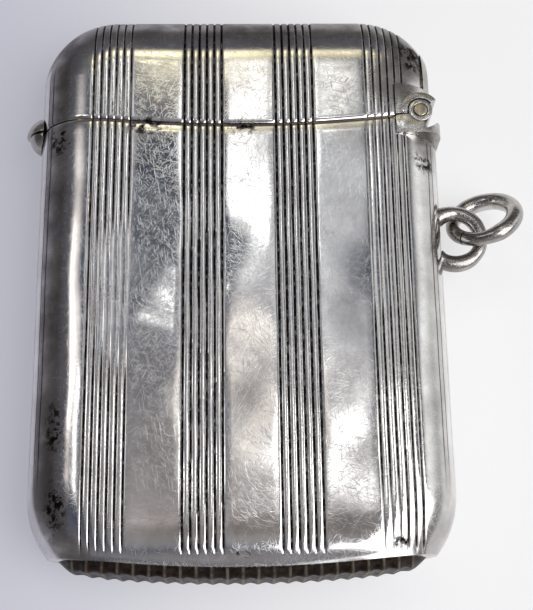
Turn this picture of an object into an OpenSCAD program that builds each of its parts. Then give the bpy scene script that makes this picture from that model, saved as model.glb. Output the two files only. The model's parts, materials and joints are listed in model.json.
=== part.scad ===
// Pocket match case in worn silver: a cushion-shaped body with a bowed mouth, a lid hinged at
// one side, a ribbed striker in the base, and a chain loop that holds a jump ring.
// The case lies on its back: X runs to the hinge side, Y to the lid, Z out of the front face.
// The origin is the middle of the back face.

/* [Case] */
// Width across the round sides
case_w = 33.5; // [31:0.5:37]
// Height from the striker ribs to the top of the lid
case_h = 47.8; // [45:0.1:54]
// Thickness from back to front
case_t = 8.6; // [8:0.1:9.6]
// Sheet thickness of the shells
wall = 0.55; // [0.45:0.05:0.7]
// Outline radius of the two lid corners
top_corner_r = 6.5; // [5.5:0.5:8]
// Outline radius of the two base corners
base_corner_r = 8; // [6.5:0.5:9]
// How far the base is cut into the round lower edge
base_cut = 1.9; // [1.4:0.1:2.4]
// Radius of the shallow bow of mouth and base
bow_r = 107; // [95:1:150]
// Gap left by solder between fixed pieces
solder_gap = 0.03; // [0.02:0.01:0.06]

/* [Lid] */
// Height of the lid at its middle
lid_h = 11.2; // [9.5:0.1:12]
// Distance from the middle where the mouth turns level on the thumb side
shoulder_x = 11; // [9:0.5:14]
// Gap between lid and body along the mouth
seam_gap = 0.12; // [0.1:0.02:0.2]
// How far the lid's hinge side is set in from the body
lid_relief = 0.7; // [0.6:0.05:0.9]

/* [Mouth collar] */
// Thickness of the collar inside the mouth
collar_t = 0.45; // [0.35:0.05:0.6]
// How far the collar stands up into the lid
collar_stand = 1.2; // [0.8:0.1:1.6]
// How far the collar reaches down into the body
collar_depth = 3; // [2:0.5:5]
// Slip clearance between the collar and the shells
collar_fit = 0.12; // [0.08:0.02:0.2]

/* [Striker] */
// Thickness of the base plate
base_t = 0.9; // [0.8:0.1:1.2]
// How far the base plate stands out of the shells
base_proud = 0.32; // [0.1:0.02:0.4]
// Spacing of the striker ribs
rib_pitch = 1.17; // [1.1:0.01:1.4]
// Radius of one half-round rib
rib_r = 0.53; // [0.48:0.01:0.54]
// How far the ribs stand out of the base plate
rib_h = 0.4; // [0.3:0.05:0.45]
// Number of ribs
rib_count = 25; // [15:2:27]

/* [Engraved lines] */
// Number of bands of lines on each face
band_count = 4; // [2:1:4]
// Lines in one band
band_lines = 6; // [2:1:7]
// Spacing of the bands
band_pitch = 7.52; // [6.5:0.02:7.8]
// Sideways shift of the whole pattern
band_shift = 0.77; // [0:0.01:1]
// Spacing of the lines in a band
line_pitch = 0.614; // [0.5:0.002:0.7]
// Width of one engraved line
line_w = 0.24; // [0.16:0.02:0.3]
// Depth of one engraved line
line_depth = 0.12; // [0.06:0.01:0.2]
// Distance from the base to the foot of the lines
line_foot = 1; // [0.8:0.1:4]

/* [Hinge] */
// Diameter of the hinge pin
pin_d = 1.1; // [0.9:0.05:1.2]
// Radial clearance of the pin in the knuckles
pin_fit = 0.04; // [0.02:0.01:0.08]
// How far the pin ends stand out of the knuckles
pin_proud = 0.06; // [0.02:0.01:0.1]
// Outer diameter of the knuckle tubes
knuckle_d = 2; // [1.8:0.05:2.1]
// Length of the lid's middle knuckle
lid_knuckle_l = 3.5; // [3:0.1:4.2]
// End gap between neighbouring knuckles
knuckle_gap = 0.06; // [0.04:0.01:0.12]
// Distance of the pin's axis from the side of the case
pin_inset = 1.75; // [1.7:0.05:1.9]
// Height of the pin's axis over the mouth line
pin_rise = 0.15; // [0.1:0.05:0.3]
// Distance of the hinge's end faces from the front and the back
hinge_inset = 0.12; // [0.1:0.02:0.3]
// Thickness of the hood that covers the knuckles
hood_t = 0.52; // [0.4:0.02:0.56]
// Clearance between the hood and what it turns past
hood_gap = 0.08; // [0.06:0.01:0.12]
// Width of the two hinge bearers
bearer_w = 3.85; // [3.6:0.05:4.2]
// Depth of the body's bearer below the pin's axis
bearer_drop = 2.05; // [1.9:0.05:2.5]
// Height of the lid's bearer over the pin's axis
bearer_rise = 1.95; // [1.9:0.05:2.2]
// Plate thickness of the lid's bearer
bearer_plate = 0.55; // [0.45:0.05:0.7]
// Edge radius of the bearers
bearer_round = 1.5; // [1:0.1:2]

/* [Lid spring] */
// Thickness of the spring leaf
spring_t = 0.3; // [0.2:0.05:0.4]
// Width of the spring leaf
spring_w = 2.8; // [2:0.1:3.2]
// Length of the spring leaf
spring_l = 13; // [10:0.5:18]
// Length of the foot that is soldered to the wall
spring_foot = 3; // [2:0.5:5]
// Clearance of the spring in the bearer and at the knuckle
spring_gap = 0.12; // [0.08:0.01:0.2]

/* [Thumb piece] */
// Radius of the lid's thumb piece
thumb_r = 1.8; // [1.5:0.1:2.2]
// Radius of the smaller lug below it
lug_r = 1.55; // [1.3:0.1:2]
// How deep the centre of both lies in the side of the case
thumb_sink = 0.5; // [0:0.05:0.7]

/* [Chain loop and jump ring] */
// Wire diameter of the fixed loop
loop_wire = 1.1; // [0.9:0.05:1.2]
// Radius of the loop to the middle of its wire
loop_r = 2.25; // [2.2:0.05:2.6]
// Distance of the loop's centre from the side of the case
loop_out = 1.1; // [0.9:0.05:1.4]
// Distance of the loop below the mouth line
loop_drop = 8.65; // [7:0.05:14]
// Wire diameter of the jump ring
ring_wire = 1.2; // [1:0.05:1.25]
// Radius of the jump ring to the middle of its wire
ring_r = 2.65; // [2.6:0.05:3]
// Sawn gap in the jump ring
ring_slit = 0.1; // [0.06:0.02:0.2]

/* [Hidden] */
$fn = 96;

// Heights along the case
top_y = case_h / 2;
base_y = -case_h / 2 + base_proud + rib_h;
round_y = base_y - base_cut;
mouth_y = top_y - lid_h;
top_corner_y = top_y - top_corner_r;
base_corner_y = round_y + base_corner_r;
mid_z = case_t / 2;
side_x = case_w / 2;

// The mouth line at a distance x from the middle
function mouth_at(x) = mouth_y + bow_r - sqrt(bow_r * bow_r - x * x);

// Hinge
pin_r = pin_d / 2;
knuckle_r = knuckle_d / 2;
hinge_x = side_x - pin_inset;
hinge_y = mouth_at(hinge_x) + pin_rise;
hood_in_r = knuckle_r + hood_gap;
hood_r = hood_in_r + hood_t;
sweep_r = hood_r + hood_gap;
hood_end = 35;
bearer_x = side_x - bearer_w;
neck_start = 195;
neck_sweep = 90;
shoulder_y = hinge_y - knuckle_r + hood_gap;
roof_y = hinge_y + bearer_rise;
lid_side_x = side_x - lid_relief;
relief_y = top_corner_y + sqrt(pow(top_corner_r, 2) - pow(lid_side_x - side_x + top_corner_r, 2));
hinge_end = case_t - hinge_inset;
ear_z = mid_z + lid_knuckle_l / 2 + knuckle_gap;
ear_l = hinge_end - ear_z;

// Spring: the tip lies against the lid's knuckle, the foot against the side wall
spring_tip_angle = 225;
spring_tip_x = hinge_x + (knuckle_r + spring_gap) * cos(spring_tip_angle);
spring_tip_y = hinge_y + (knuckle_r + spring_gap) * sin(spring_tip_angle);
side_bore_r = mid_z - wall - solder_gap;
spring_foot_x = side_x - mid_z + sqrt(pow(side_bore_r, 2) - pow(spring_w / 2, 2));
spring_foot_y = spring_tip_y - spring_l;

// Thumb piece
thumb_x = -side_x + thumb_sink;
thumb_y = mouth_at(shoulder_x);

// Loop and ring: the ring lies tilted over the loop, its centre given from the loop's outer wire
loop_x = side_x + loop_out;
loop_y = mouth_y - loop_drop;
ring_offset = [0.35, 1.7, -0.05];
ring_tilt = 41;
ring_turn = 31;
ring_slit_turn = 200;

past = 1;
lane = line_w / 2;

// Half of the round-edged section: from the axis to a full round end at r
module half_section(r, t) {
  intersection() {
    union() {
      translate([0, -t / 2]) square([r - t / 2, t]);
      translate([r - t / 2, 0]) circle(d = t);
    }
    translate([0, -t / 2]) square([r, t]);
  }
}

module whole_section(w, t) {
  translate([-(w - t) / 2, -t / 2]) square([w - t, t]);
  for (side = [-1, 1]) translate([side * (w - t) / 2, 0]) circle(d = t);
}

// One rounded end of the case: two corners of radius r with a straight run between them
module round_end(r, inset) {
  run = case_w / 2 - r;
  t = case_t - 2 * inset;
  rotate([90, 0, 90]) linear_extrude(2 * run, center = true) half_section(r - inset, t);
  translate([run, 0, 0]) rotate_extrude(angle = 90) half_section(r - inset, t);
  translate([-run, 0, 0]) rotate([0, 0, 90]) rotate_extrude(angle = 90) half_section(r - inset, t);
}

// The whole cushion shape before lid and base are cut, set in all round by inset
module case_form(inset) {
  translate([0, 0, mid_z]) {
    translate([0, top_corner_y, 0]) rotate([90, 0, 0])
      linear_extrude(top_corner_y - base_corner_y)
        whole_section(case_w - 2 * inset, case_t - 2 * inset);
    translate([0, top_corner_y, 0]) round_end(top_corner_r, inset);
    translate([0, base_corner_y, 0]) rotate([0, 0, 180]) round_end(base_corner_r, inset);
  }
}

// Everything above the bow that has its lowest point at y
module above_bow(y, r = bow_r) {
  translate([0, y + r, -past]) cylinder(r = r, h = case_t + 2 * past, $fn = 360);
}

// Everything above the mouth line: the bow, and the level shoulder on the thumb side
module above_mouth(y) {
  above_bow(y);
  translate([-case_w, y + mouth_at(shoulder_x) - mouth_y, -past])
    cube([case_w - shoulder_x, case_h, case_t + 2 * past]);
}

module front_half() {
  translate([-case_w, -case_h, mid_z]) cube([2 * case_w, 2 * case_h, case_t]);
}

module back_half() {
  translate([-case_w, -case_h, mid_z - case_t]) cube([2 * case_w, 2 * case_h, case_t]);
}

// Thin slabs of the line pattern, left only where they lie outside the floor of the engraving
module engraving() {
  difference() {
    for (band = [0 : band_count - 1], line = [0 : band_lines - 1]) {
      x = band_shift + (band - (band_count - 1) / 2) * band_pitch
        + (line - (band_lines - 1) / 2) * line_pitch;
      translate([x - lane, base_y + line_foot, -past])
        cube([line_w, case_h, case_t + 2 * past]);
    }
    case_form(line_depth);
  }
}

module shell() {
  difference() {
    case_form(0);
    case_form(wall);
    engraving();
  }
}

// Place cut out of the body for its hinge bearer
module body_notch() {
  translate([bearer_x, hinge_y - bearer_drop, -past])
    cube([bearer_w + past, bearer_drop + lid_h, case_t + 2 * past]);
}

// Place cut out of the lid for its hinge bearer
module lid_notch() {
  translate([bearer_x, mouth_y - past, -past])
    cube([bearer_w + past, roof_y + bearer_plate - mouth_y + past, case_t + 2 * past]);
  translate([lid_side_x - bearer_plate, mouth_y, -past])
    cube([bearer_w, relief_y - mouth_y, case_t + 2 * past]);
}

module body_shell() {
  difference() {
    intersection() {
      shell();
      above_bow(base_y);
    }
    above_mouth(mouth_y - seam_gap / 2);
    body_notch();
  }
}

module lid_shell() {
  difference() {
    intersection() {
      shell();
      above_mouth(mouth_y + seam_gap / 2);
    }
    lid_notch();
  }
}

module body_front_shell() {
  color("silver") intersection() {
    body_shell();
    front_half();
  }
}

module body_back_shell() {
  color("silver") intersection() {
    body_shell();
    back_half();
  }
}

module lid_front_shell() {
  color("silver") intersection() {
    lid_shell();
    front_half();
  }
}

module lid_back_shell() {
  color("silver") intersection() {
    lid_shell();
    back_half();
  }
}

// Base plate, a little proud of the shells, with half-round ribs that follow its bow
module base_striker() {
  bow_y = base_y + bow_r;
  face_r = bow_r + base_proud;
  step = rib_pitch / face_r * 180 / PI;
  color("dimgray") intersection() {
    case_form(wall + solder_gap);
    union() {
      translate([0, bow_y, 0]) difference() {
        cylinder(r = face_r, h = case_t, $fn = 360);
        translate([0, 0, -past]) cylinder(r = face_r - base_t, h = case_t + 2 * past, $fn = 360);
      }
      for (i = [-(rib_count - 1) / 2 : (rib_count - 1) / 2])
        translate([0, bow_y, 0]) rotate([0, 0, i * step])
          translate([0, rib_r - rib_h - face_r, 0]) cylinder(r = rib_r, h = case_t, $fn = 48);
    }
  }
}

// Thin collar inside the mouth, open at the hinge side
module mouth_collar() {
  outer = wall + collar_fit;
  color("goldenrod") difference() {
    intersection() {
      case_form(outer);
      above_mouth(mouth_y - collar_depth);
    }
    case_form(outer + collar_t);
    above_mouth(mouth_y + collar_stand);
    translate([bearer_x - collar_fit, mouth_y - case_h, -past])
      cube([bearer_w + past, 2 * case_h, case_t + 2 * past]);
  }
}

// Edges of the bearers rounded like the side of the case, seen along Y
module bearer_edge() {
  w = bearer_w - bearer_round;
  l = hinge_end - hinge_inset;
  translate([bearer_x + solder_gap, hinge_y + case_h, 0]) rotate([90, 0, 0])
    linear_extrude(2 * case_h) translate([0, hinge_inset]) {
      square([w - solder_gap, l]);
      translate([0, bearer_round]) square([bearer_w - solder_gap, l - 2 * bearer_round]);
      for (z = [bearer_round, l - bearer_round])
        translate([w - solder_gap, z]) circle(r = bearer_round);
    }
}

// Sector of a ring round the pin's axis
module hinge_sector(r_in, r_out, start, sweep, z, l) {
  translate([hinge_x, hinge_y, z]) rotate([0, 0, start])
    rotate_extrude(angle = sweep) translate([r_in, 0]) square([r_out - r_in, l]);
}

module hinge_round(r) {
  translate([hinge_x, hinge_y, -past]) cylinder(r = r, h = case_t + 2 * past);
}

// Block in the body's side that carries the two outer knuckles
module body_hinge_bearer() {
  foot_y = hinge_y - bearer_drop + solder_gap;
  channel = spring_w + 2 * spring_gap;
  color("lightgray") difference() {
    intersection() {
      bearer_edge();
      union() {
        difference() {
          union() {
            translate([bearer_x, foot_y, 0]) cube([bearer_w, shoulder_y - foot_y, case_t]);
            translate([bearer_x, foot_y, 0]) cube([hinge_x - bearer_x, bearer_drop, case_t]);
          }
          hinge_round(sweep_r);
        }
        for (z = [hinge_inset, ear_z])
          hinge_sector(knuckle_r + solder_gap, sweep_r + solder_gap, neck_start, neck_sweep, z, ear_l);
      }
    }
    above_bow(mouth_y - seam_gap / 2);
    translate([bearer_x - past, foot_y - past, mid_z - channel / 2])
      cube([hinge_x + spring_gap - bearer_x + past, bearer_drop + lid_h, channel]);
  }
}

module knuckle(z, l) {
  translate([hinge_x, hinge_y, z]) difference() {
    cylinder(r = knuckle_r, h = l);
    translate([0, 0, -past]) cylinder(r = pin_r + pin_fit, h = l + 2 * past);
  }
}

module front_knuckle() {
  color("gainsboro") knuckle(ear_z, ear_l);
}

module rear_knuckle() {
  color("gainsboro") knuckle(hinge_inset, ear_l);
}

module lid_knuckle() {
  color("gainsboro") knuckle(mid_z - lid_knuckle_l / 2, lid_knuckle_l);
}

module hinge_pin() {
  color("khaki") translate([hinge_x, hinge_y, hinge_inset - pin_proud])
    cylinder(r = pin_r, h = hinge_end - hinge_inset + 2 * pin_proud);
}

// Leaf, roof and side plate that fill the lid's notch, with the hood over the knuckles
module lid_hinge_bearer() {
  color("lightgray") difference() {
    intersection() {
      union() {
        intersection() {
          case_form(0);
          union() {
            translate([bearer_x + solder_gap, mouth_y, 0])
              cube([hinge_x - bearer_x, roof_y + bearer_plate - solder_gap - mouth_y, case_t]);
            translate([hinge_x, roof_y, 0])
              cube([lid_side_x - hinge_x, bearer_plate - solder_gap, case_t]);
            translate([lid_side_x - bearer_plate + solder_gap, roof_y, 0])
              cube([bearer_plate - solder_gap, relief_y - solder_gap - roof_y, case_t]);
          }
        }
        intersection() {
          bearer_edge();
          hinge_sector(hood_in_r - past / 2, hood_r, hood_end, 180 - hood_end,
            hinge_inset, hinge_end - hinge_inset);
        }
      }
      above_bow(mouth_y + seam_gap / 2);
    }
    hinge_round(hood_in_r);
  }
}

// Leaf spring along the hinge side, with its foot against the wall
module lid_spring() {
  lean = (spring_tip_x - spring_foot_x) / spring_l;
  color("slategray") translate([0, 0, mid_z - spring_w / 2]) linear_extrude(spring_w)
    polygon([
      [spring_foot_x - spring_t, spring_foot_y - spring_foot],
      [spring_foot_x, spring_foot_y - spring_foot],
      [spring_foot_x, spring_foot_y],
      [spring_tip_x, spring_tip_y],
      [spring_tip_x - spring_t, spring_tip_y + lean * spring_t],
      [spring_foot_x - spring_t, spring_foot_y]
    ]);
}

// Half a ball on the side of the case, above or below the mouth
module side_ball(r) {
  difference() {
    translate([thumb_x, thumb_y, mid_z]) rotate([90, 0, 0]) sphere(r);
    case_form(-solder_gap);
  }
}

module thumb_piece() {
  color("silver") intersection() {
    side_ball(thumb_r);
    above_mouth(mouth_y + seam_gap / 2);
  }
}

module body_lug() {
  color("gray") difference() {
    side_ball(lug_r);
    above_mouth(mouth_y - seam_gap / 2);
  }
}

module wire_ring(r, wire) {
  rotate_extrude() translate([r, 0]) circle(d = wire);
}

module chain_loop() {
  color("darkgray") difference() {
    translate([loop_x, loop_y, mid_z]) wire_ring(loop_r, loop_wire);
    case_form(-solder_gap);
  }
}

module jump_ring() {
  color("gray") translate([loop_x + loop_r, loop_y, mid_z] + ring_offset)
    rotate([0, 0, ring_turn]) rotate([-ring_tilt, 0, 0]) difference() {
      wire_ring(ring_r, ring_wire);
      rotate([0, 0, ring_slit_turn]) translate([0, -ring_slit / 2, -ring_wire])
        cube([2 * ring_r, ring_slit, 2 * ring_wire]);
    }
}

body_front_shell();
body_back_shell();
base_striker();
mouth_collar();
body_lug();
body_hinge_bearer();
front_knuckle();
rear_knuckle();
hinge_pin();
lid_spring();
chain_loop();
lid_front_shell();
lid_back_shell();
lid_hinge_bearer();
lid_knuckle();
thumb_piece();
jump_ring();
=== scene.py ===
# %% [markdown]
# # A worn silver match case
# A match case is a flat silver box for the pocket. Its lid swings on a small hinge at one side,
# its base is a ribbed striker, and a loop at the side takes a chain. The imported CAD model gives
# every place and size, so we load it first as a fixed frame and dress it piece by piece.

# %% Load the frame
import json
import math

import bmesh
import bpy
import numpy as np
from mathutils import Matrix, Vector


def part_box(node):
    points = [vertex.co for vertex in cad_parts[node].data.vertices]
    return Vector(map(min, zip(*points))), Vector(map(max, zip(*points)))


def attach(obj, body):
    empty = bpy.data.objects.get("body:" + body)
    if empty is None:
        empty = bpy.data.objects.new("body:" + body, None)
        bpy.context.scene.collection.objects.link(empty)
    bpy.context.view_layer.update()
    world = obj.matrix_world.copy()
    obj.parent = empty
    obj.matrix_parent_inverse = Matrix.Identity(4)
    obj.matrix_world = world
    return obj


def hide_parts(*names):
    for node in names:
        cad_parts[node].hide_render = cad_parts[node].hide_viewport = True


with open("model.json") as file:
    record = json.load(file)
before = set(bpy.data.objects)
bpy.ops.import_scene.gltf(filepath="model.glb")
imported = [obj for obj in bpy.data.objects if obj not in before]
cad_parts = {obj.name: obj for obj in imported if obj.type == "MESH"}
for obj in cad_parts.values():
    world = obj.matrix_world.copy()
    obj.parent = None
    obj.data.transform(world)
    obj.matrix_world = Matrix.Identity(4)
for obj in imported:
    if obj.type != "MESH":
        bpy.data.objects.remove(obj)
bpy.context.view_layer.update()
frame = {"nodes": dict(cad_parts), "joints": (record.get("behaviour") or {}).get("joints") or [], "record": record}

MM = 0.001
MATH, RANGE = "ShaderNodeMath", "ShaderNodeMapRange"

# %% [markdown]
# ## Sizes
# The case is a cushion: a flat plate with rounded corners, thickened evenly by a ball of
# half the thickness. So a few lengths describe the whole form. What the frame can tell is read
# from its nodes and joints, and the rest repeats the named lengths of the part's source, in mm.

# %% Lengths of the case in millimetres
hinge = next(j for j in frame["joints"] if j["name"] == "lid_hinge")
swing = next(j for j in frame["joints"] if j["name"] == "ring_swing")
HINGE_X, HINGE_Y, MID_Z = (c / MM for c in hinge["pos_m"])
LOOP_Y = swing["pos_m"][1] / MM
TOP_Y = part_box("lid_front_shell")[1].y / MM
SIDE_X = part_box("body_front_shell")[1].x / MM
BALL_R = MID_Z
WALL = 0.55
BOW_R = 107.0
LEVEL_X = 11.0       # the mouth runs level beyond here on the thumb side
SEAM_GAP = 0.12
TOP_CORNER_R, BASE_CORNER_R, BASE_CUT = 6.5, 8.0, 1.9
PIN_RISE = 0.15
RIB_H = 0.4
BASE_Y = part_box("body_front_shell")[0].y / MM
PLATE_PROUD = BASE_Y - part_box("base_striker")[0].y / MM - RIB_H
PLATE_X = SIDE_X - BALL_R
print("case", round(2 * SIDE_X, 2), "x", round(2 * TOP_Y, 2), "x", round(2 * MID_Z, 2), "mm")


def bow(x):
    """Rise of the shallow bow at a distance x from the middle."""
    return BOW_R - np.sqrt(BOW_R ** 2 - np.square(x))


MOUTH_Y = HINGE_Y - PIN_RISE - bow(HINGE_X)


def mouth(x):
    """The line between lid and body: a bow that turns level on the thumb side."""
    return MOUTH_Y + bow(np.maximum(x, -LEVEL_X))


# %% [markdown]
# ## Small helpers
# Colours are written as sRGB hex, the way a paint program shows them, and turned to the linear
# values that the shader wants. One function adds a node to any tree, and others turn a list of
# points and faces into a finished piece that rides on its body.

# %% Helpers for colours, nodes and meshes
def linear(code):
    """sRGB hex to linear RGBA."""
    parts = [int(code[i:i + 2], 16) / 255 for i in (1, 3, 5)]
    return tuple(c / 12.92 if c <= 0.04045 else ((c + 0.055) / 1.055) ** 2.4 for c in parts) + (1.0,)


def add(tree, kind, inputs=None, **settings):
    """Add a node; an input is a value, a socket to link from, or a node for its first output."""
    node = tree.nodes.new(kind)
    for name, value in settings.items():
        setattr(node, name, value)
    for key, value in (inputs or {}).items():
        if isinstance(value, bpy.types.Node):
            value = value.outputs[0]
        if isinstance(value, bpy.types.NodeSocket):
            tree.links.new(value, node.inputs[key])
        else:
            node.inputs[key].default_value = value
    return node


def placed(name, data):
    """A new object in the scene, at the origin."""
    thing = bpy.data.objects.new(name, data)
    bpy.context.scene.collection.objects.link(thing)
    return thing


def finished(name, mesh, material, body, node_names, sharp=40):
    """Link a mesh as a piece that rides on a body and stands for CAD nodes."""
    mesh.name = name
    mesh.materials.clear()
    mesh.materials.append(material)
    mesh.shade_smooth()
    mesh.set_sharp_from_angle(angle=math.radians(sharp))
    piece = placed(name, mesh)
    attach(piece, body)
    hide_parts(*node_names)
    print(name, "faces:", len(mesh.polygons))
    return piece


def mesh_of(points, faces, recalculate=True):
    """A mesh in metres from points in millimetres."""
    mesh = bpy.data.meshes.new("draft")
    mesh.from_pydata((np.asarray(points) * MM).tolist(), [], faces)
    if recalculate:
        bm = bmesh.new()
        bm.from_mesh(mesh)
        bmesh.ops.remove_doubles(bm, verts=bm.verts, dist=1e-8)
        bmesh.ops.recalc_face_normals(bm, faces=bm.faces)
        bm.to_mesh(mesh)
        bm.free()
    return mesh


def baked(mesh, *modifiers):
    """Run modifiers, given as (type, settings), on a mesh and return the plain result."""
    holder = placed("holder", mesh)
    for kind, settings in modifiers:
        modifier = holder.modifiers.new(kind, kind)
        for key, value in settings.items():
            if isinstance(key, str) and key.startswith("Socket_"):
                modifier[key] = value
            else:
                setattr(modifier, key, value)
    bpy.context.view_layer.update()
    result = bpy.data.meshes.new_from_object(
        holder.evaluated_get(bpy.context.evaluated_depsgraph_get()))
    holder.modifiers.clear()
    bpy.data.objects.remove(holder)
    return result


# %% [markdown]
# ## Worn silver
# Sterling silver that was polished, carried for decades and rubbed clean again. It mirrors the
# room, softened by thousands of hair scratches. Oxide stays where a cloth can't reach, so the
# engraved lines are brown-black. A metal needs little colour: the scratches and the oxide make
# the finish, and both are drawn at sizes measured in millimetres.

# %% Silver with scratches, pits and oxide
def start_material(name):
    """A material with its tree, its shader and the place on the piece in metres."""
    material = bpy.data.materials.new(name)
    material.use_nodes = True
    tree = material.node_tree
    shader = tree.nodes["Principled BSDF"]
    place = add(tree, "ShaderNodeTexCoord").outputs["Object"]
    return material, tree, shader, place


def silver(name, clean, dull, stain, oxide, rough, relief):
    """Metal with hair scratches, and with tarnish and painted shade, specks and oxide by attributes of the piece.
    """
    material, tree, shader, place = start_material(name)
    scratches = None
    # Hair scratches about 0.7 mm long, drawn 0.03 mm wide, coarser than life, so that they show
    for turn, wide, long in ((0.15, 0.030, 0.7), (0.75, 0.026, 0.5), (1.35, 0.028, 0.9), (2.0, 0.026, 0.45),
                             (2.6, 0.030, 0.65)):
        turned = add(tree, "ShaderNodeMapping", {
            "Vector": place, "Rotation": (0.0, 0.0, turn),
            "Scale": (wide * MM, long * MM, 1.0 * MM)}, vector_type="TEXTURE")
        hair = add(tree, "ShaderNodeTexNoise", {
            "Vector": turned, "Scale": 0.5, "Detail": 1.0, "Roughness": 0.5})
        line = add(tree, RANGE, {0: hair, 1: 0.645, 2: 0.72, 3: 0.0, 4: 1.0})
        if scratches is None:
            scratches = line
        else:
            scratches = add(tree, MATH, {0: scratches, 1: line}, operation="MAXIMUM")
    # Handling wear: small pits of about 0.45 mm
    pits = add(tree, "ShaderNodeTexNoise", {
        "Vector": place, "Scale": 1 / (0.45 * MM), "Detail": 3.0, "Roughness": 0.6})
    # Clouds of rubbed and less rubbed silver, about 5 mm
    cloud = add(tree, "ShaderNodeTexNoise", {
        "Vector": place, "Scale": 1 / (5.0 * MM), "Detail": 4.0, "Roughness": 0.65})
    rubbed = add(tree, RANGE, {0: cloud, 1: 0.35, 2: 0.7, 3: 0.0, 4: 1.0})
    skin = add(tree, "ShaderNodeMix", {0: rubbed, 6: linear(clean), 7: linear(dull)}, data_type="RGBA")
    # Brown-grey on the round edges is painted dark reflection and shade, mixed with tarnish round the hinge, read
    # from an attribute
    tarnish_and_shade_attribute = add(tree, "ShaderNodeAttribute", attribute_name="stain")
    uneven = add(tree, RANGE, {0: cloud, 1: 0.3, 2: 0.6, 3: 0.55, 4: 1.0})
    tarnish_and_shade_at = add(tree, MATH, {0: tarnish_and_shade_attribute.outputs["Fac"], 1: uneven},
                   operation="MULTIPLY", use_clamp=True)
    tinted = add(tree, "ShaderNodeMix", {0: tarnish_and_shade_at, 6: skin.outputs[2], 7: linear(stain)},
                 data_type="RGBA")
    # Black specks of about 0.6 mm where grime is left
    grime = add(tree, "ShaderNodeAttribute", attribute_name="grime")
    grit = add(tree, "ShaderNodeTexNoise", {
        "Vector": place, "Scale": 1 / (0.6 * MM), "Detail": 4.0, "Roughness": 0.7})
    thick = add(tree, MATH, {0: grime.outputs["Fac"], 1: 0.1, 2: grit}, operation="MULTIPLY_ADD")
    speck = add(tree, RANGE, {0: thick, 1: 0.55, 2: 0.66, 3: 0.0, 4: 1.0})
    specks = add(tree, MATH, {0: speck, 1: grime.outputs["Fac"]}, operation="MULTIPLY", use_clamp=True)
    lines = add(tree, "ShaderNodeAttribute", attribute_name="oxide")
    patchy = add(tree, RANGE, {0: pits, 1: 0.25, 2: 0.5, 3: 0.65, 4: 1.0})
    in_lines = add(tree, MATH, {0: lines.outputs["Fac"], 1: patchy}, operation="MULTIPLY", use_clamp=True)
    dark = add(tree, MATH, {0: in_lines, 1: specks}, operation="MAXIMUM")
    # Three fine lines along each narrow side, by their height off the middle of the case
    side = add(tree, "ShaderNodeAttribute", attribute_name="side").outputs["Fac"]
    level = add(tree, "ShaderNodeSeparateXYZ", {0: place}).outputs[2]
    off = add(tree, MATH, {0: level, 1: MID_Z * MM}, operation="SUBTRACT")
    off = add(tree, MATH, {0: off}, operation="ABSOLUTE")
    for line_mm in (1.3, 2.25, 2.7):
        line = add(tree, MATH, {0: off, 1: line_mm * MM, 2: 0.05 * MM}, operation="COMPARE")
        line = add(tree, MATH, {0: line, 1: side}, operation="MULTIPLY")
        dark = add(tree, MATH, {0: line, 1: dark}, operation="MAXIMUM")
    colour = add(tree, "ShaderNodeMix", {0: dark, 6: tinted.outputs[2], 7: linear(oxide)},
                 data_type="RGBA")
    tree.links.new(colour.outputs[2], shader.inputs["Base Color"])
    rub = add(tree, RANGE, {0: cloud, 1: 0.3, 2: 0.7, 3: rough * 0.75, 4: rough * 1.4})
    scratched = add(tree, MATH, {0: scratches, 1: 0.17, 2: rub}, operation="MULTIPLY_ADD")
    dulled = add(tree, MATH, {0: tarnish_and_shade_at, 1: 0.4, 2: scratched}, operation="MULTIPLY_ADD")
    rough_all = add(tree, MATH, {0: dark, 1: 0.4, 2: dulled}, operation="MULTIPLY_ADD", use_clamp=True)
    tree.links.new(rough_all.outputs[0], shader.inputs["Roughness"])
    shader.inputs["Metallic"].default_value = 1.0
    height = add(tree, MATH, {0: scratches, 1: -0.9, 2: pits}, operation="MULTIPLY_ADD")
    bump = add(tree, "ShaderNodeBump", {"Height": height, "Strength": relief, "Distance": 0.02 * MM})
    tree.links.new(bump.outputs[0], shader.inputs["Normal"])
    return material


# Bright sheet mirrors the room; the wire's darker grey is tarnish with painted shade, so it shows only the room's
# lights; filed hinge metal has a soft gloss
worn_silver = silver("worn_sterling_silver", "#F0EFED", "#CCC9C7", "#4A4241", "#1C1512", 0.06, 0.06)
shaded_wire_silver = silver("tarnished_shaded_silver_wire", "#C8C5C1", "#7A7672", "#3A3533", "#262220", 0.15, 0.25)
hinge_silver = silver("filed_hinge_silver", "#D2D1CE", "#A09C95", "#453D38", "#2B2218", 0.13, 0.3)
print("silver finishes:", worn_silver.name, shaded_wire_silver.name, hinge_silver.name)

# %% [markdown]
# ## The other metals
# The striker is silver that turned almost black, bright only on the crests that matches and
# pockets rub. The mouth collar keeps a thin wash of gilding against the matches. The hinge pin
# is brass wire, filed flush, and the lid's spring is a strip of blued steel.

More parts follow.
